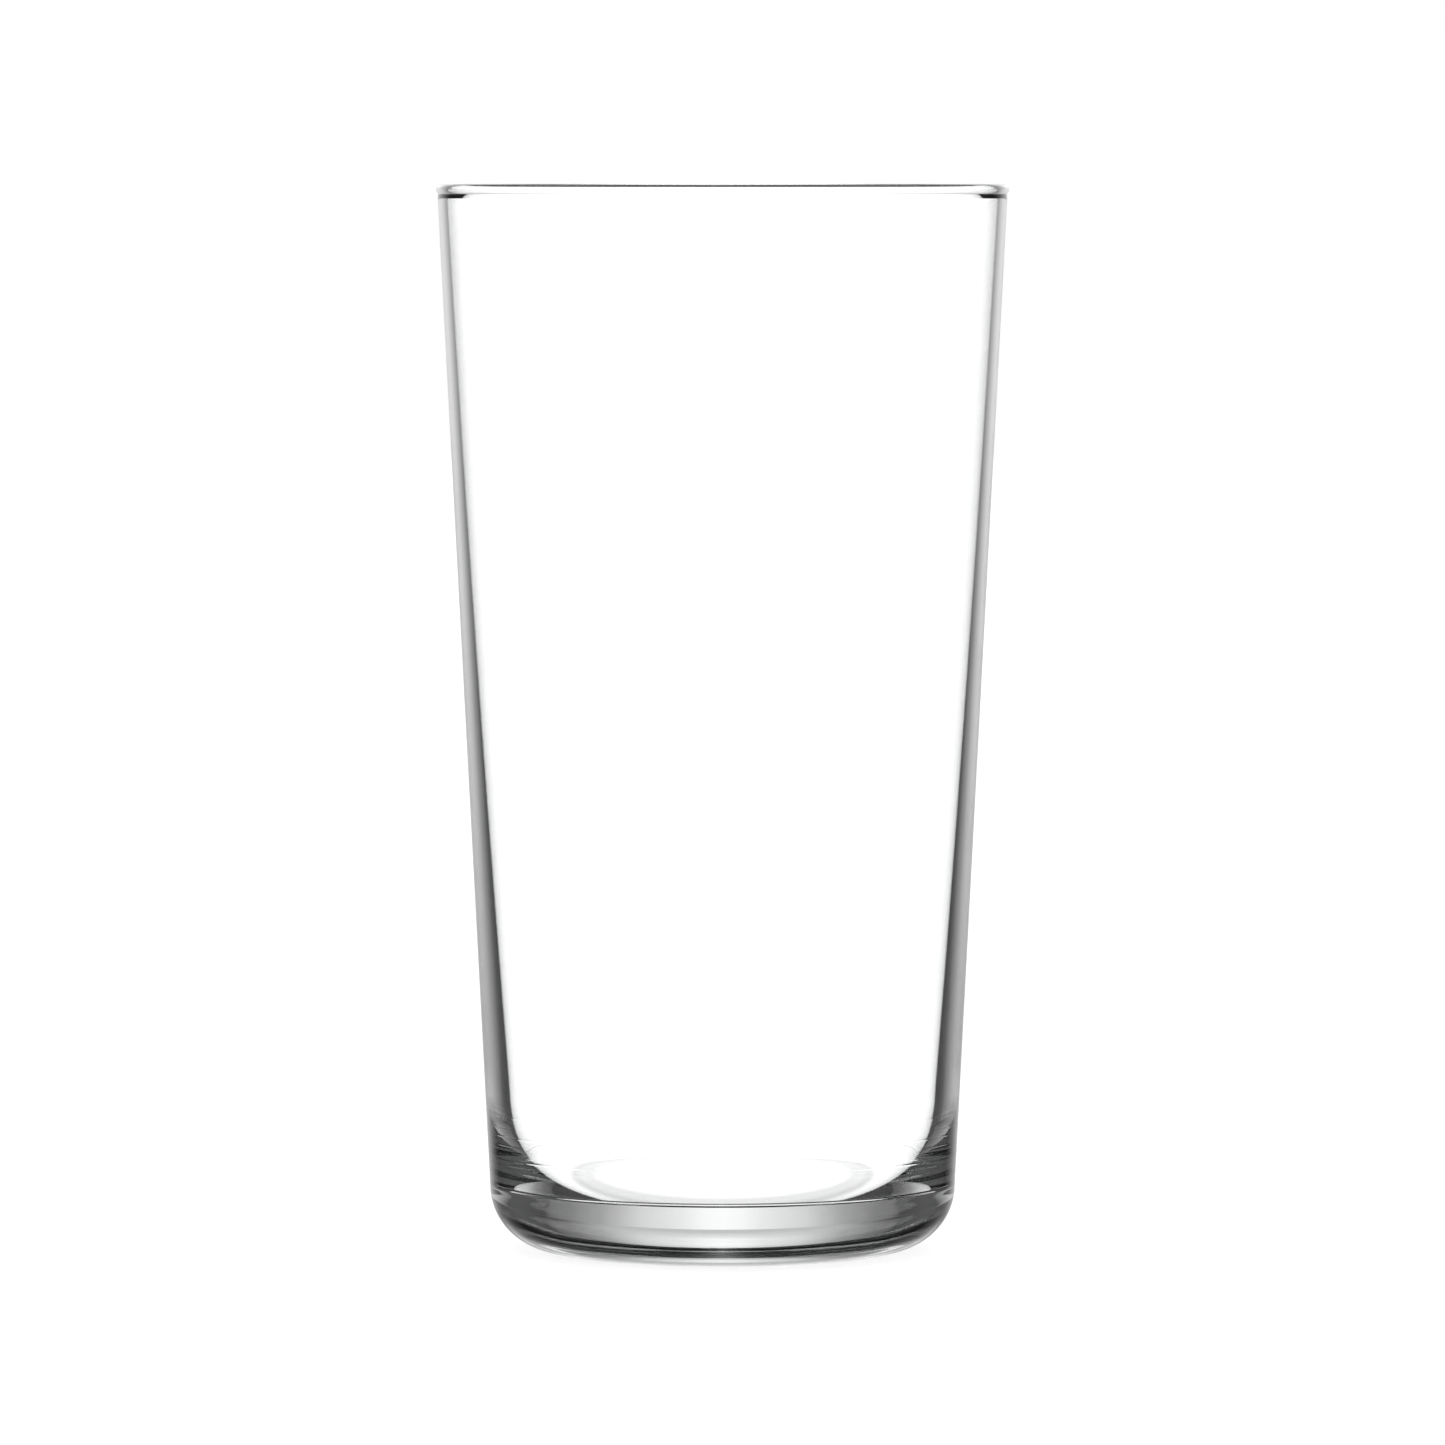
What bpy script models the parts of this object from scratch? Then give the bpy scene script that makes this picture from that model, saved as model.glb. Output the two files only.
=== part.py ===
"""Pint glass: one tall tapered tumbler of clear glass, in metres, standing on Z = 0.

The glass is a single turned body. It has a fire-polished bead at the lip, a thin wall
that thickens towards the foot, a flat floor with a shallow rim, a thick solid base with a
rounded heel, and a shallow domed recess under it that leaves a flat ring to stand on.
"""

import math

import bmesh
import bpy

MM = 0.001

# Overall size
HEIGHT = 155.5 * MM
LIP_RADIUS = 41.7 * MM

# Fire-polished bead at the lip
BEAD_RADIUS = 0.84 * MM
BEAD_NECK_ANGLE = math.radians(48)

# Outer wall: a plain cone from the heel up to the bead
WALL_TOP_RADIUS = 41.45 * MM
WALL_TOP_HEIGHT = 153.4 * MM
FOOT_RADIUS = 34.0 * MM

# Base
HEEL_WIDTH = 9.4 * MM
HEEL_HEIGHT = 9.3 * MM
RECESS_RADIUS = 22.0 * MM
RECESS_DEPTH = 0.5 * MM

# Floor of the cavity: a flat disc inside a shallow rising rim
FLOOR_HEIGHT = 8.7 * MM
FLOOR_RADIUS = 20.2 * MM
RIM_HEIGHT = 9.6 * MM

# Cavity: a slightly bellied taper that curves in below and meets the floor's rim in a crease
CAVITY_TOP_RADIUS = 40.1 * MM
CAVITY_LOW_RADIUS = 31.27 * MM
CAVITY_BELLY = 0.38 * MM
CORNER_TOP = 23.6 * MM
CORNER_HEIGHT = 20.4 * MM
CORNER_WIDTH = 16.1 * MM
CORNER_FULLNESS = 2.8

# Facets
STEPS_AROUND = 80
HEEL_SEGMENTS = 8
BEAD_SEGMENTS = 8
CAVITY_SEGMENTS = 5
CORNER_SEGMENTS = 9
RECESS_SEGMENTS = 4
MERGE_DISTANCE = 0.01 * MM

# Glass
GLASS_COLOUR = (0.95, 0.97, 0.97, 1.0)
GLASS_IOR = 1.52


def clear_scene():
    """Removes every object that the scene starts with."""
    for old in list(bpy.data.objects):
        bpy.data.objects.remove(old, do_unlink=True)


def glass_material():
    """Clear, colourless, polished soda-lime glass."""
    material = bpy.data.materials.new("clear_glass")
    material.use_nodes = True
    shader = material.node_tree.nodes["Principled BSDF"]
    shader.inputs["Base Color"].default_value = GLASS_COLOUR
    shader.inputs["Roughness"].default_value = 0.02
    shader.inputs["Metallic"].default_value = 0.0
    shader.inputs["IOR"].default_value = GLASS_IOR
    shader.inputs["Transmission Weight"].default_value = 1.0
    return material


def arc(centre, width, height, start, end, segments):
    """Points of an elliptical arc in the (radius, height) plane, angles in radians."""
    points = []
    for i in range(segments + 1):
        angle = start + (end - start) * i / segments
        points.append(
            (centre[0] + width * math.cos(angle), centre[1] + height * math.sin(angle))
        )
    return points


def bead():
    """The rounded lip, from its inner neck over the top to its outer neck."""
    centre = (LIP_RADIUS - BEAD_RADIUS, HEIGHT - BEAD_RADIUS)
    start = math.pi + BEAD_NECK_ANGLE
    return arc(centre, BEAD_RADIUS, BEAD_RADIUS, start, -BEAD_NECK_ANGLE, BEAD_SEGMENTS)


def heel():
    """The rounded outer corner of the base, from the wall down to the standing ring."""
    centre = (FOOT_RADIUS - HEEL_WIDTH, HEEL_HEIGHT)
    return arc(centre, HEEL_WIDTH, HEEL_HEIGHT, 0.0, -math.pi / 2, HEEL_SEGMENTS)


def underside():
    """The recess under the base, from the standing ring up its soft dome to the axis."""
    points = []
    for i in range(RECESS_SEGMENTS + 1):
        share = 1 - i / RECESS_SEGMENTS
        height = RECESS_DEPTH * math.cos(math.pi / 2 * share) ** 2
        points.append((RECESS_RADIUS * share, height))
    return points


def cavity_radius(height):
    """The cavity's radius at a height, were the taper to run on down past the corner."""
    share = (height - CORNER_TOP) / (WALL_TOP_HEIGHT - CORNER_TOP)
    straight = CAVITY_LOW_RADIUS + (CAVITY_TOP_RADIUS - CAVITY_LOW_RADIUS) * share
    belly = 4 * CAVITY_BELLY * share * (1 - share) if share > 0 else 0.0
    return straight + belly


def corner_radius(height):
    """The cavity's radius where the wall curves in, above the crease at the floor's rim."""
    drop = (CORNER_TOP - height) / CORNER_HEIGHT
    fill = 1 - (1 - drop**CORNER_FULLNESS) ** (1 / CORNER_FULLNESS)
    return cavity_radius(height) - CORNER_WIDTH * fill


def corner():
    """The cavity's lower curve, from the crease at the floor's rim out and up to the wall."""
    points = []
    for i in range(CORNER_SEGMENTS):
        rise = (i / CORNER_SEGMENTS) ** 1.6
        height = RIM_HEIGHT + (CORNER_TOP - RIM_HEIGHT) * rise
        points.append((corner_radius(height), height))
    return points


def cavity_wall():
    """The cavity's side, from the corner up to the bead."""
    points = []
    for i in range(CAVITY_SEGMENTS + 1):
        height = CORNER_TOP + (WALL_TOP_HEIGHT - CORNER_TOP) * i / CAVITY_SEGMENTS
        points.append((cavity_radius(height), height))
    return points


def glass_profile():
    """The whole section, from the cavity's floor over the lip and down to the underside."""
    profile = [(0.0, FLOOR_HEIGHT), (FLOOR_RADIUS, FLOOR_HEIGHT)]
    profile += corner()
    profile += cavity_wall()
    profile += bead()
    profile.append((WALL_TOP_RADIUS, WALL_TOP_HEIGHT))
    profile += heel()
    profile += underside()
    return profile


def turned(name, profile, steps):
    """An object whose profile at +X is turned round Z by a Screw modifier."""
    mesh = bpy.data.meshes.new(name)
    outline = bmesh.new()
    points = [outline.verts.new((radius, 0.0, height)) for radius, height in profile]
    for first, second in zip(points, points[1:]):
        outline.edges.new((first, second))
    outline.to_mesh(mesh)
    outline.free()
    body = bpy.data.objects.new(name, mesh)
    screw = body.modifiers.new("turned", "SCREW")
    screw.axis = "Z"
    screw.angle = 2 * math.pi
    screw.steps = steps
    screw.render_steps = steps
    screw.use_merge_vertices = True
    screw.merge_threshold = MERGE_DISTANCE
    screw.use_smooth_shade = True
    return body


def build():
    """Models the glass in its own collection."""
    clear_scene()
    glass = bpy.data.collections.new("pint_glass")
    bpy.context.scene.collection.children.link(glass)
    body = turned("glass_body", glass_profile(), STEPS_AROUND)
    body.data.materials.append(glass_material())
    glass.objects.link(body)


build()
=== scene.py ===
"""Pint glass: a tall tapered tumbler of clear glass on a pale floor in soft studio light.

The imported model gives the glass's height and lip width. The tumbler is one turned body,
modelled here at full smoothness and dressed in clear glass, with the low ridges that a
mould leaves round the foot of its wall. All lengths are in metres, with +Z up.

The light isn't the same for every path. What is seen through the cavity, through a wall,
and after a reflection inside a wall each meet their own surround, and a lit disc under the
glass shows only through it.
"""

import logging
import math
from dataclasses import dataclass, field
from enum import Enum

import bpy
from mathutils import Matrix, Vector


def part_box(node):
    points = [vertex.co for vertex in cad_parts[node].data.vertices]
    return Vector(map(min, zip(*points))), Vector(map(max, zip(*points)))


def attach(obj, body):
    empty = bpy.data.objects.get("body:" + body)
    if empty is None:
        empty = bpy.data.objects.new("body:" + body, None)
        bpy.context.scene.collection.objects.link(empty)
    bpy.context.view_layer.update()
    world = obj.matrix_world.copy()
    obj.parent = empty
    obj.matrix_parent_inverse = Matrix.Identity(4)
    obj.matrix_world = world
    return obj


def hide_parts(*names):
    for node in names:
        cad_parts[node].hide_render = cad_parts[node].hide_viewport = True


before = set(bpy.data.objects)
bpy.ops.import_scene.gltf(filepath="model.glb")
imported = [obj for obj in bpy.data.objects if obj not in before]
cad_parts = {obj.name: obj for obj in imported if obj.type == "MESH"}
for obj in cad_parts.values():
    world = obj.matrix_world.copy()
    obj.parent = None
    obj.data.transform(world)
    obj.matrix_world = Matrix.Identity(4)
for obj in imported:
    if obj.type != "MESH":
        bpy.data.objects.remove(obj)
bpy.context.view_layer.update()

CAD_NODE = "glass_body"
BODY = "root"
DISC_EDGES = 96
MM = 0.001
DEGREE = math.radians(1)

# A path with more crossings of the skin than this has gone through the cavity into the far
# side, and one with more reflections than this has been turned back by a wall.
ONE_WALL_CROSSINGS = 2.5
NO_REFLECTIONS = 0.5

log = logging.getLogger("pint_glass")

Point = tuple[float, float]
Stops = tuple[tuple[float, float], ...]


class Ray(Enum):
    """The kinds of light path that the studio treats in their own way."""

    CAMERA = "Is Camera Ray"
    DIFFUSE = "Is Diffuse Ray"
    CROSSINGS = "Transmission Depth"
    BOUNCES = "Glossy Depth"


def arc(centre: Point, width: float, height: float, start: float, end: float, count: int) -> list[Point]:
    """Points along an elliptical arc in the section's plane.

    Args:
        centre: Radius and height of the ellipse's centre.
        width: Half width of the ellipse.
        height: Half height of the ellipse.
        start: First angle, in degrees.
        end: Last angle, in degrees.
        count: Number of steps between the first point and the last.

    Returns:
        The points from the first angle to the last, both included.
    """
    points = []
    for i in range(count + 1):
        angle = math.radians(start + (end - start) * i / count)
        points.append((centre[0] + width * math.cos(angle), centre[1] + height * math.sin(angle)))
    return points


def between(first: Point, last: Point, count: int) -> list[Point]:
    """Points along a straight line, without its first end and with its last.

    Args:
        first: Where the line starts.
        last: Where the line ends.
        count: Number of steps.

    Returns:
        The points after the first, up to and with the last.
    """
    return [
        (
            first[0] + (last[0] - first[0]) * i / count,
            first[1] + (last[1] - first[1]) * i / count,
        )
        for i in range(1, count + 1)
    ]


@dataclass(frozen=True)
class Lip:
    """The fire-polished bead at the top of the wall."""

    radius: float
    top: float
    bead: float = 0.84 * MM
    neck: float = 48.0
    steps: int = 36

    def points(self) -> list[Point]:
        """The bead from its inner neck over the top to its outer neck."""
        centre = (self.radius - self.bead, self.top - self.bead)
        return arc(centre, self.bead, self.bead, 180 + self.neck, -self.neck, self.steps)


@dataclass(frozen=True)
class Cavity:
    """The inside: a flat floor, its rising rim, a crease, and a wall that curves in to meet it."""

    floor_height: float = 8.7 * MM
    floor_radius: float = 20.2 * MM
    rim_height: float = 9.6 * MM
    low_radius: float = 31.27 * MM
    top_radius: float = 40.1 * MM
    belly: float = 0.38 * MM
    corner_top: float = 23.6 * MM
    corner_height: float = 20.4 * MM
    corner_width: float = 16.1 * MM
    corner_fullness: float = 2.8
    wall_top: float = 153.4 * MM
    crowding: float = 1.6
    corner_crowding: float = 1.4
    floor_steps: int = 8
    rim_steps: int = 4
    corner_steps: int = 52
    wall_steps: int = 48

    def wall_radius(self, height: float) -> float:
        """The taper's radius, were the taper to run on down past the corner.

        Args:
            height: Height above the table.

        Returns:
            The radius at that height.
        """
        share = (height - self.corner_top) / (self.wall_top - self.corner_top)
        bulge = 4 * self.belly * share * (1 - share) if share > 0 else 0.0
        return self.low_radius + (self.top_radius - self.low_radius) * share + bulge

    def corner_radius(self, height: float) -> float:
        """The radius where the wall curves in, above the crease at the floor's rim.

        Args:
            height: Height above the table, from the crease up to the corner's top.

        Returns:
            The radius at that height.
        """
        drop = (self.corner_top - height) / self.corner_height
        fill = 1 - max(0.0, 1 - drop**self.corner_fullness) ** (1 / self.corner_fullness)
        return self.wall_radius(height) - self.corner_width * fill

    def points(self) -> list[Point]:
        """The section from the middle of the floor out and up to the bead.

        Returns:
            The radius and height of each point, in order.
        """
        edge = (self.floor_radius, self.floor_height)
        rim = (self.corner_radius(self.rim_height), self.rim_height)
        points = [(0.0, self.floor_height)]
        points += between(points[0], edge, self.floor_steps)
        points += between(edge, rim, self.rim_steps)
        for i in range(1, self.corner_steps):
            rise = (i / self.corner_steps) ** self.corner_crowding
            height = self.rim_height + (self.corner_top - self.rim_height) * rise
            points.append((self.corner_radius(height), height))
        for i in range(self.wall_steps + 1):
            rise = 1 - (1 - i / self.wall_steps) ** self.crowding
            height = self.corner_top + (self.wall_top - self.corner_top) * rise
            points.append((self.wall_radius(height), height))
        return points


@dataclass(frozen=True)
class Outside:
    """The outer wall, the rounded heel, the standing ring and the domed recess under the base.

    Each mould seam is a low ridge, given as its height and its rise in millimetres.
    """

    top_radius: float = 41.45 * MM
    top: float = 153.4 * MM
    foot_radius: float = 34.0 * MM
    heel_width: float = 9.4 * MM
    heel_height: float = 9.3 * MM
    recess_radius: float = 22.0 * MM
    recess_depth: float = 0.5 * MM
    seams: Stops = ((20.5, 0.006), (17.6, 0.006), (14.3, 0.015), (9.85, 0.035))
    seam_width: float = 0.4 * MM
    seam_steps: int = 10
    crowding: float = 1.6
    wall_steps: int = 50
    heel_steps: int = 44
    ring_steps: int = 2
    recess_steps: int = 12

    def wall_radius(self, height: float) -> float:
        """The outer wall's radius, with the low ridge that each mould seam leaves.

        Args:
            height: Height above the table.

        Returns:
            The radius at that height.
        """
        share = (height - self.heel_height) / (self.top - self.heel_height)
        radius = self.foot_radius + (self.top_radius - self.foot_radius) * share
        for place, rise in self.seams:
            offset = 2 * abs(height - place * MM) / self.seam_width
            if offset < 1:
                radius += rise * MM * math.cos(math.pi / 2 * offset) ** 2
        return radius

    def wall_heights(self) -> list[float]:
        """Heights down the wall, close together near the bead and across each mould seam.

        Returns:
            The heights, from the highest to the lowest.
        """
        heights = []
        for i in range(1, self.wall_steps):
            fall = (i / self.wall_steps) ** self.crowding
            heights.append(self.top - (self.top - self.heel_height) * fall)
        for place, _ in self.seams:
            low = place * MM - self.seam_width / 2
            heights = [height for height in heights if not low <= height <= low + self.seam_width]
            for i in range(self.seam_steps + 1):
                heights.append(low + self.seam_width * i / self.seam_steps)
        return sorted(heights, reverse=True)

    def points(self) -> list[Point]:
        """The section from under the bead down the wall and in to the axis.

        Returns:
            The radius and height of each point, in order.
        """
        points = [(self.top_radius, self.top)]
        points += [(self.wall_radius(height), height) for height in self.wall_heights()]
        centre = (self.foot_radius - self.heel_width, self.heel_height)
        points += arc(centre, self.heel_width, self.heel_height, 0, -90, self.heel_steps)
        points += between((centre[0], 0.0), (self.recess_radius, 0.0), self.ring_steps)
        for i in range(1, self.recess_steps + 1):
            share = 1 - i / self.recess_steps
            height = self.recess_depth * math.cos(math.pi / 2 * share) ** 2
            points.append((self.recess_radius * share, height))
        return points


class NodeSheet:
    """Adds nodes to a material's or the world's node tree and joins them up."""

    def __init__(self, tree: bpy.types.NodeTree) -> None:
        """Keeps the tree that the nodes go into."""
        self.tree = tree

    def add(self, kind: str) -> bpy.types.Node:
        """A new node of the given kind."""
        return self.tree.nodes.new(kind)

    def join(self, source: bpy.types.NodeSocket, target: bpy.types.NodeSocket) -> None:
        """Links an output to an input."""
        self.tree.links.new(source, target)

    def sum(self, operation: str, *values: float | bpy.types.NodeSocket) -> bpy.types.NodeSocket:
        """One Math node.

        Args:
            operation: The Math node's operation, such as "MULTIPLY".
            values: Its inputs in order, each a number or another node's output.

        Returns:
            The node's output.
        """
        node = self.add("ShaderNodeMath")
        node.operation = operation
        for slot, value in zip(node.inputs, values):
            if isinstance(value, (int, float)):
                slot.default_value = value
            else:
                self.join(value, slot)
        return node.outputs[0]

    def ramp(
        self, value: bpy.types.NodeSocket, stops: Stops, unit: float = DEGREE
    ) -> bpy.types.NodeSocket:
        """Straight runs between (place, brightness) stops.

        Args:
            value: The output that holds the place, an angle in radians or a length in metres.
            stops: Places in the given unit, rising, each with its brightness.
            unit: What one step of the stops' places measures.

        Returns:
            The output that holds the brightness.
        """
        first, last = stops[0][0], stops[-1][0]
        peak = max(brightness for _, brightness in stops)
        node = self.add("ShaderNodeValToRGB")
        colours = node.color_ramp
        colours.interpolation = "LINEAR"
        while len(colours.elements) < len(stops):
            colours.elements.new(0.5)
        for element, (place, brightness) in zip(colours.elements, stops):
            element.position = (place - first) / (last - first)
            element.color = (brightness / peak,) * 3 + (1.0,)
        along = self.sum("SUBTRACT", value, first * unit)
        self.join(self.sum("DIVIDE", along, (last - first) * unit), node.inputs[0])
        return self.sum("MULTIPLY", node.outputs[0], peak)


@dataclass(frozen=True)
class ClearGlass:
    """Clear, colourless soda-lime glass, with the faint waviness that pressing leaves in it."""

    name: str = "clear_glass"
    tint: tuple[float, float, float] = (0.995, 0.998, 0.997)
    ior: float = 1.5
    shade: tuple[float, float, float] = (0.0, 0.03, 0.02)
    density: float = 5.0
    wave_scale: float = 55.0
    wave_stretch: float = 3.0
    wave_detail: float = 1.0
    wave_height: float = 0.004 * MM

    def material(self) -> bpy.types.Material:
        """The glass as a material.

        Returns:
            A material with one Principled shader, a wavy skin and a faint grey depth.
        """
        material = bpy.data.materials.new(self.name)
        material.use_nodes = True
        sheet = NodeSheet(material.node_tree)
        shader = material.node_tree.nodes["Principled BSDF"]
        shader.inputs["Base Color"].default_value = (*self.tint, 1.0)
        shader.inputs["Roughness"].default_value = 0.0
        shader.inputs["IOR"].default_value = self.ior
        shader.inputs["Transmission Weight"].default_value = 1.0
        self.wave(sheet, shader)
        depth = sheet.add("ShaderNodeVolumeAbsorption")
        depth.inputs["Color"].default_value = (*self.shade, 1.0)
        depth.inputs["Density"].default_value = self.density
        output = material.node_tree.nodes["Material Output"]
        sheet.join(depth.outputs[0], output.inputs["Volume"])
        return material

    def wave(self, sheet: NodeSheet, shader: bpy.types.Node) -> None:
        """Gives the skin long, low waves that run round the glass.

        Args:
            sheet: The material's node sheet.
            shader: The Principled shader that takes the waves as its normal.
        """
        place = sheet.add("ShaderNodeTexCoord")
        stretch = sheet.add("ShaderNodeMapping")
        stretch.inputs["Scale"].default_value = (1.0, 1.0, self.wave_stretch)
        noise = sheet.add("ShaderNodeTexNoise")
        noise.inputs["Scale"].default_value = self.wave_scale
        noise.inputs["Detail"].default_value = self.wave_detail
        bump = sheet.add("ShaderNodeBump")
        bump.inputs["Strength"].default_value = 1.0
        bump.inputs["Distance"].default_value = self.wave_height
        sheet.join(place.outputs["Object"], stretch.inputs["Vector"])
        sheet.join(stretch.outputs["Vector"], noise.inputs["Vector"])
        sheet.join(noise.outputs["Fac"], bump.inputs["Height"])
        sheet.join(bump.outputs["Normal"], shader.inputs["Normal"])


@dataclass(frozen=True)
class PaleFinish:
    """The floor's matt white paint, lit a little from within like a light table."""

    name: str = "pale_floor"
    colour: tuple[float, float, float] = (0.35, 0.35, 0.35)
    roughness: float = 0.8
    glow: float = 0.8
    grain_scale: float = 900.0
    grain_height: float = 0.01 * MM

    def material(self) -> bpy.types.Material:
        """The paint as a material.

        Returns:
            A matt white material that glows a little and has a fine grain.
        """
        material = bpy.data.materials.new(self.name)
        material.use_nodes = True
        sheet = NodeSheet(material.node_tree)
        shader = material.node_tree.nodes["Principled BSDF"]
        shader.inputs["Base Color"].default_value = (*self.colour, 1.0)
        shader.inputs["Roughness"].default_value = self.roughness
        shader.inputs["Emission Color"].default_value = (1.0, 1.0, 1.0, 1.0)
        shader.inputs["Emission Strength"].default_value = self.glow
        place = sheet.add("ShaderNodeTexCoord")
        grain = sheet.add("ShaderNodeTexNoise")
        grain.inputs["Scale"].default_value = self.grain_scale
        bump = sheet.add("ShaderNodeBump")
        bump.inputs["Distance"].default_value = self.grain_height
        sheet.join(place.outputs["Object"], grain.inputs["Vector"])
        sheet.join(grain.outputs["Fac"], bump.inputs["Height"])
        sheet.join(bump.outputs["Normal"], shader.inputs["Normal"])
        return material


@dataclass(frozen=True)
class TableGlow:
    """The light that comes up off the table, seen only through the glass.

    Near the base it shows to the paths that have gone through the cavity. Further out it shows
    to the ones that have crossed a single wall, with no reflection in it. The glow's stops are
    in millimetres from the middle, with a dimmer ring of painted shade under the standing ring.
    """

    name: str = "table_glow"
    near: float = 92 * MM
    # The dip from 19.5 to 24.6 mm is painted shade: a dimmer ring under the standing ring, which the
    # glass's own shape doesn't make.
    glow: Stops = (
        (0, 1.45),
        (16, 1.25),
        (19.5, 1.1),
        (20.6, 0.8),
        (22.0, 0.88),
        (23.4, 0.7),
        (24.6, 1.4),
        (90, 1.5),
    )

    def material(self) -> bpy.types.Material:
        """The glow as a material.

        Returns:
            A material that glows to those paths and is clear to every other one.
        """
        material = bpy.data.materials.new(self.name)
        material.use_nodes = True
        sheet = NodeSheet(material.node_tree)
        material.node_tree.nodes.remove(material.node_tree.nodes["Principled BSDF"])
        place = sheet.add("ShaderNodeTexCoord")
        reach = sheet.add("ShaderNodeVectorMath")
        reach.operation = "LENGTH"
        sheet.join(place.outputs["Object"], reach.inputs[0])
        light = sheet.add("ShaderNodeEmission")
        sheet.join(sheet.ramp(reach.outputs["Value"], self.glow, MM), light.inputs["Strength"])
        clear = sheet.add("ShaderNodeBsdfTransparent")
        path = sheet.add("ShaderNodeLightPath").outputs
        deep = sheet.sum("GREATER_THAN", path[Ray.CROSSINGS.value], ONE_WALL_CROSSINGS)
        straight = sheet.sum("LESS_THAN", path[Ray.BOUNCES.value], NO_REFLECTIONS)
        once = sheet.sum("MULTIPLY", sheet.sum("SUBTRACT", 1.0, deep), straight)
        near = sheet.sum("LESS_THAN", reach.outputs["Value"], self.near)
        far = sheet.sum("MULTIPLY", once, sheet.sum("SUBTRACT", 1.0, near))
        choice = sheet.add("ShaderNodeMixShader")
        lit = sheet.sum("ADD", sheet.sum("MULTIPLY", near, deep), far)
        sheet.join(lit, choice.inputs[0])
        sheet.join(clear.outputs[0], choice.inputs[1])
        sheet.join(light.outputs[0], choice.inputs[2])
        output = material.node_tree.nodes["Material Output"]
        sheet.join(choice.outputs[0], output.inputs["Surface"])
        return material


class Bench:
    """The few modelling moves that the pieces here share."""

    @staticmethod
    def clear_selection() -> None:
        """Leaves nothing selected and Blender in object mode."""
        if bpy.context.mode != "OBJECT":
            bpy.ops.object.mode_set(mode="OBJECT")
        bpy.ops.object.select_all(action="DESELECT")

    @staticmethod
    def pick(piece: bpy.types.Object) -> None:
        """Selects one piece, alone, and makes it the active one.

        Args:
            piece: The piece, in any mode.
        """
        Bench.clear_selection()
        piece.select_set(True)
        bpy.context.view_layer.objects.active = piece

    @staticmethod
    def settle(piece: bpy.types.Object) -> None:
        """Puts the piece's origin at the frame's origin, unturned and unscaled.

        Args:
            piece: The piece, in any mode.
        """
        Bench.pick(piece)
        bpy.ops.object.transform_apply(location=True, rotation=True, scale=True)

    @staticmethod
    def disc(name: str, radius: float, gap: float, finish: bpy.types.Material) -> bpy.types.Object:
        """Lays a flat disc round the Z axis, just under the glass.

        Args:
            name: The disc's name.
            radius: Its radius.
            gap: How far it lies under the frame's origin.
            finish: Its material.

        Returns:
            The disc.
        """
        Bench.clear_selection()
        bpy.ops.mesh.primitive_circle_add(
            vertices=DISC_EDGES, radius=radius, fill_type="NGON", location=(0, 0, -gap)
        )
        disc = bpy.context.object
        disc.name = name
        disc.data.materials.append(finish)
        Bench.settle(disc)
        return disc


@dataclass
class Tumbler:
    """The glass itself: one closed body turned round the Z axis from its half section.

    The crease is the least angle, in degrees, at which two faces meet in a sharp edge.
    """

    height: float
    lip_radius: float
    cavity: Cavity = field(default_factory=Cavity)
    outside: Outside = field(default_factory=Outside)
    finish: ClearGlass = field(default_factory=ClearGlass)
    steps_around: int = 320
    weld: float = 0.001 * MM
    crease: float = 12.0
    name: str = "pint_glass_body"

    def section(self) -> list[Point]:
        """The whole half section, from the floor's middle over the lip to the underside's."""
        lip = Lip(self.lip_radius, self.height)
        return self.cavity.points() + lip.points() + self.outside.points()

    def draw(self, section: list[Point]) -> bpy.types.Object:
        """Draws the section by pulling one vertex from point to point.

        Args:
            section: Radius and height of each point, in order.

        Returns:
            The object that holds the outline, left in edit mode.
        """
        Bench.clear_selection()
        radius, height = section[0]
        bpy.ops.mesh.primitive_plane_add(size=MM, location=(radius, 0.0, height))
        piece = bpy.context.object
        piece.name = self.name
        piece.data.name = self.name
        bpy.ops.object.mode_set(mode="EDIT")
        bpy.ops.mesh.select_all(action="SELECT")
        bpy.ops.mesh.merge(type="CENTER")
        for last, point in zip(section, section[1:]):
            step = (point[0] - last[0], 0.0, point[1] - last[1])
            bpy.ops.mesh.extrude_vertices_move(TRANSFORM_OT_translate={"value": step})
        return piece

    def turn(self, piece: bpy.types.Object) -> None:
        """Spins the outline round the axis and closes its seam and both poles.

        Args:
            piece: The object in edit mode that holds the outline.
        """
        bpy.ops.mesh.select_all(action="SELECT")
        bpy.ops.mesh.spin(steps=self.steps_around, angle=math.tau, center=(0, 0, 0), axis=(0, 0, 1))
        bpy.ops.mesh.select_all(action="SELECT")
        bpy.ops.mesh.remove_doubles(threshold=self.weld)
        bpy.ops.mesh.normals_make_consistent(inside=False)
        bpy.ops.object.mode_set(mode="OBJECT")
        Bench.settle(piece)

    def polish(self, piece: bpy.types.Object) -> None:
        """Shades the skin smooth, apart from the floor's creases, and gives it its glass.

        Args:
            piece: The turned tumbler, in object mode.
        """
        Bench.pick(piece)
        bpy.ops.object.shade_smooth_by_angle(angle=math.radians(self.crease))
        piece.data.materials.clear()
        piece.data.materials.append(self.finish.material())

    def build(self) -> bpy.types.Object:
        """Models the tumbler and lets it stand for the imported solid.

        Returns:
            The finished piece.
        """
        piece = self.draw(self.section())
        self.turn(piece)
        self.polish(piece)
        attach(piece, BODY)
        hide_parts(CAD_NODE)
        return piece


@dataclass
class Floor:
    """A plain pale floor under the glass, which the glass neither shows nor reflects."""

    radius: float = 4.0
    gap: float = 0.05 * MM
    finish: PaleFinish = field(default_factory=PaleFinish)

    def build(self) -> bpy.types.Object:
        """Lays the floor.

        Returns:
            The floor, which isn't attached to the glass's body.
        """
        floor = Bench.disc("floor", self.radius, self.gap, self.finish.material())
        floor.visible_transmission = False
        floor.visible_glossy = False
        return floor


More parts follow.
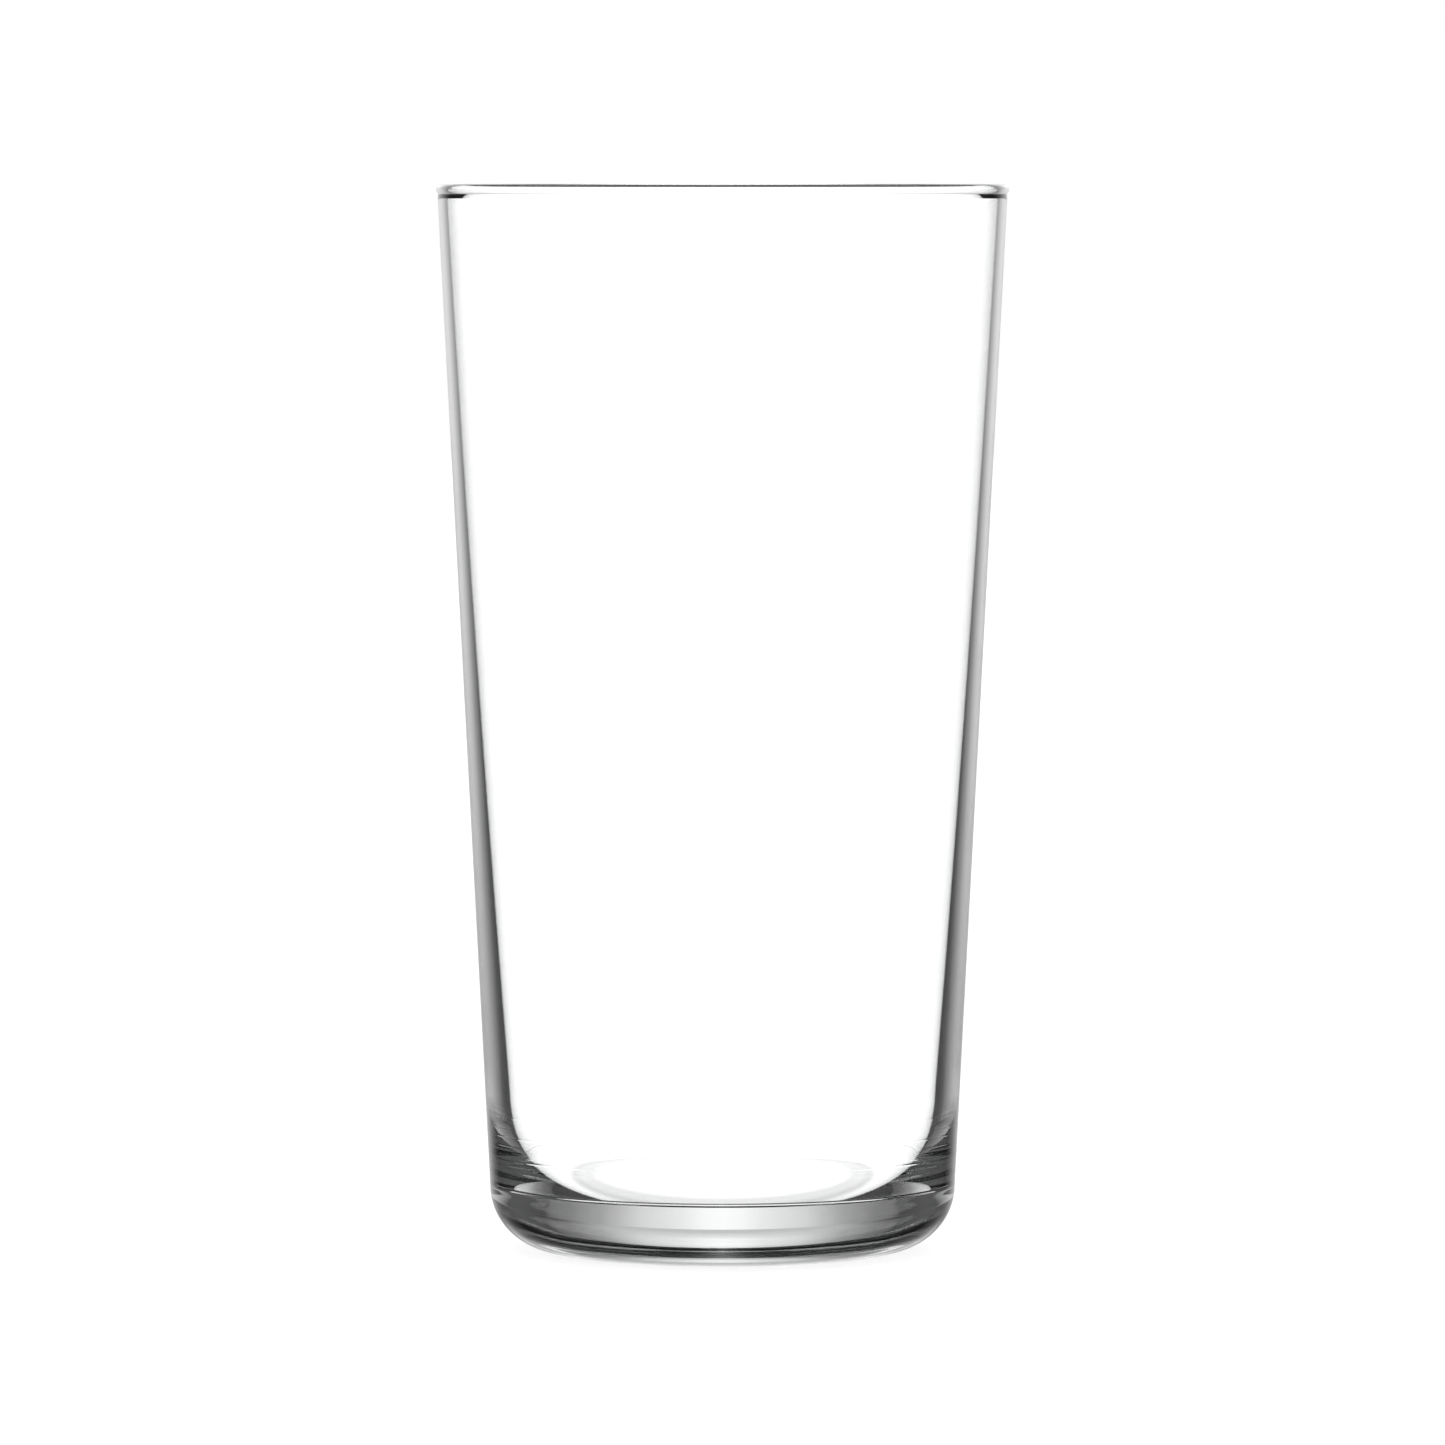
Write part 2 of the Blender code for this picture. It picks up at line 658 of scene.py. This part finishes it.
@dataclass
class LightTable:
    """A lit disc that the glass stands on, seen only through the glass."""

    radius: float = 3.0
    gap: float = 0.02 * MM
    finish: TableGlow = field(default_factory=TableGlow)

    def build(self) -> bpy.types.Object:
        """Lays the disc.

        Returns:
            The disc, which isn't attached to the glass's body.
        """
        disc = Bench.disc("light_table", self.radius, self.gap, self.finish.material())
        disc.visible_camera = False
        disc.visible_diffuse = False
        disc.visible_glossy = False
        disc.visible_shadow = False
        return disc


@dataclass
class Studio:
    """The studio's soft light, whose brightness depends on how a path has gone.

    The camera sees a white backdrop, and matt surfaces are lit evenly. Through the cavity all
    is white, apart from a dark patch low behind the glass, which draws the line at the lip.
    Everything else meets a sweep, white behind and dark at the sides, with a lit table and
    white beyond the sides for paths that no wall has reflected. The ones that a wall has
    reflected, near the level, meet a paler surround that gives the wall its greys.

    Stops are in degrees. Those of `sweep`, `beyond`, `dark_behind` and `wall` run from straight
    behind the glass round to the front. The others run from straight below to straight above.
    """

    sweep: Stops = (
        (0, 1.42),
        (3, 1.36),
        (7, 1.15),
        (14, 0.92),
        (18, 0.68),
        (22, 0.47),
        (30, 0.25),
        (36, 0.18),
        (38, 0.08),
        (50, 0.12),
        (180, 0.12),
    )
    beyond: Stops = ((0, 0.0), (58, 0.0), (75, 1.0), (180, 1.2))
    up_down: Stops = (
        (-90, 0.3),
        (-50, 0.5),
        (-14, 1.0),
        (20, 1.0),
        (30, 0.9),
        (45, 0.6),
        (90, 0.5),
    )
    table: Stops = ((-90, 1.2), (-45, 1.2), (-36, 0.0), (90, 0.0))
    through: float = 1.5
    dark_below: Stops = ((-90, 0.0), (-68, 0.0), (-60, 1.0), (-22, 1.0), (-19, 0.0), (90, 0.0))
    dark_behind: Stops = ((0, 1.0), (40, 1.0), (55, 0.0), (180, 0.0))
    wall: Stops = (
        (0, 0.82),
        (10, 0.78),
        (17, 0.72),
        (21, 0.62),
        (24, 0.5),
        (26, 0.4),
        (28, 0.32),
        (31, 0.2),
        (34, 0.08),
        (38, 0.05),
        (50, 0.14),
        (145, 0.14),
        (163, 0.5),
        (180, 0.7),
    )
    wall_fade: Stops = ((-16, 0.55), (-12, 0.62), (-10, 0.74), (-7, 0.87), (-4, 1.0), (4, 1.0))
    wall_reach: Stops = ((-17, 0.0), (-14, 1.0), (1, 1.0), (5, 0.0))
    backdrop: float = 1.0
    ambient: float = 1.0

    def angles(self, sheet: NodeSheet) -> tuple[bpy.types.NodeSocket, bpy.types.NodeSocket]:
        """The two angles that a direction is read by.

        Args:
            sheet: The world's node sheet.

        Returns:
            The angle from straight behind, and the angle above the horizon, in radians.
        """
        place = sheet.add("ShaderNodeTexCoord")
        axes = sheet.add("ShaderNodeSeparateXYZ")
        sheet.join(place.outputs["Generated"], axes.inputs[0])
        across, along, up = axes.outputs[0], axes.outputs[1], axes.outputs[2]
        turned = sheet.sum("ABSOLUTE", sheet.sum("ARCTAN2", across, along))
        return turned, sheet.sum("ARCSINE", up)

    def mix(
        self,
        sheet: NodeSheet,
        share: bpy.types.NodeSocket,
        inside: float | bpy.types.NodeSocket,
        outside: bpy.types.NodeSocket,
    ) -> bpy.types.NodeSocket:
        """A brightness that is one value where the share is 1 and another where it is 0."""
        rest = sheet.sum("MULTIPLY", outside, sheet.sum("SUBTRACT", 1.0, share))
        return sheet.sum("ADD", rest, sheet.sum("MULTIPLY", share, inside))

    def through_wall(
        self,
        sheet: NodeSheet,
        turned: bpy.types.NodeSocket,
        risen: bpy.types.NodeSocket,
        reflected: bpy.types.NodeSocket,
    ) -> bpy.types.NodeSocket:
        """The light that meets a path which hasn't gone through the cavity.

        Args:
            sheet: The world's node sheet.
            turned: The angle from straight behind.
            risen: The angle above the horizon.
            reflected: 1 where a wall has reflected the path, and 0 where none has.

        Returns:
            The brightness.
        """
        open_light = sheet.sum("MULTIPLY", sheet.ramp(turned, self.sweep), sheet.ramp(risen, self.up_down))
        edge = sheet.sum("MULTIPLY", sheet.ramp(turned, self.wall), sheet.ramp(risen, self.wall_fade))
        level = sheet.sum("MULTIPLY", reflected, sheet.ramp(risen, self.wall_reach))
        extra = sheet.sum("ADD", sheet.ramp(risen, self.table), sheet.ramp(turned, self.beyond))
        light = self.mix(sheet, reflected, open_light, sheet.sum("ADD", open_light, extra))
        return self.mix(sheet, level, edge, light)

    def through_cavity(
        self, sheet: NodeSheet, turned: bpy.types.NodeSocket, risen: bpy.types.NodeSocket
    ) -> bpy.types.NodeSocket:
        """The light that meets a path which has gone through the cavity.

        Args:
            sheet: The world's node sheet.
            turned: The angle from straight behind.
            risen: The angle above the horizon.

        Returns:
            The brightness.
        """
        shadow = sheet.sum(
            "MULTIPLY", sheet.ramp(risen, self.dark_below), sheet.ramp(turned, self.dark_behind)
        )
        return sheet.sum("MULTIPLY", sheet.sum("SUBTRACT", 1.0, shadow), self.through)

    def build(self) -> bpy.types.World:
        """Makes the world and gives it to the scene.

        Returns:
            The world.
        """
        world = bpy.data.worlds.new("studio")
        world.use_nodes = True
        bpy.context.scene.world = world
        sheet = NodeSheet(world.node_tree)
        turned, risen = self.angles(sheet)
        path = sheet.add("ShaderNodeLightPath").outputs
        deep = sheet.sum("GREATER_THAN", path[Ray.CROSSINGS.value], ONE_WALL_CROSSINGS)
        reflected = sheet.sum("GREATER_THAN", path[Ray.BOUNCES.value], NO_REFLECTIONS)
        light = self.through_wall(sheet, turned, risen, reflected)
        light = self.mix(sheet, deep, self.through_cavity(sheet, turned, risen), light)
        light = self.mix(sheet, path[Ray.DIFFUSE.value], self.ambient, light)
        light = self.mix(sheet, path[Ray.CAMERA.value], self.backdrop, light)
        background = world.node_tree.nodes["Background"]
        background.inputs["Color"].default_value = (1.0, 1.0, 1.0, 1.0)
        sheet.join(light, background.inputs["Strength"])
        return world


@dataclass(frozen=True)
class LightPaths:
    """How many times light may cross or leave a surface, and how its brightness is shown."""

    bounces: int = 32
    transform: str = "Standard"

    def apply(self) -> None:
        """Sets the scene's light paths and its view transform."""
        cycles = bpy.context.scene.cycles
        cycles.max_bounces = self.bounces
        cycles.glossy_bounces = self.bounces
        cycles.transmission_bounces = self.bounces
        bpy.context.scene.view_settings.view_transform = self.transform


@dataclass
class Viewpoint:
    """The camera, level with the lip and looking slightly down on the whole glass.

    The pitch is in degrees, and the lens and sensor are in millimetres.
    """

    height: float
    distance: float = 1.4
    pitch: float = 3.2097
    lens: float = 239.24
    sensor: float = 36.0
    nearest: float = 0.01
    farthest: float = 50.0

    def build(self) -> bpy.types.Object:
        """Places the camera and makes it the scene's.

        Returns:
            The camera.
        """
        lens = bpy.data.cameras.new("camera")
        lens.sensor_width = self.sensor
        lens.lens = self.lens
        lens.clip_start = self.nearest
        lens.clip_end = self.farthest
        camera = bpy.data.objects.new("camera", lens)
        camera.location = (0.0, -self.distance, self.height)
        camera.rotation_euler = (math.radians(90.0 - self.pitch), 0.0, 0.0)
        bpy.context.scene.collection.objects.link(camera)
        bpy.context.scene.camera = camera
        return camera


def report(piece: bpy.types.Object) -> None:
    """Logs a finished piece's name and its number of faces."""
    log.info("%s: %d faces", piece.name, len(piece.data.polygons))


def main() -> None:
    """Builds the glass, the floor, the light and the camera."""
    logging.basicConfig(level=logging.INFO, format="%(name)s %(message)s")
    low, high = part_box(CAD_NODE)
    report(Tumbler(height=high.z, lip_radius=high.x).build())
    report(Floor().build())
    report(LightTable().build())
    Studio().build()
    LightPaths().apply()
    Viewpoint(height=high.z).build()


if __name__ == "__main__":
    main()
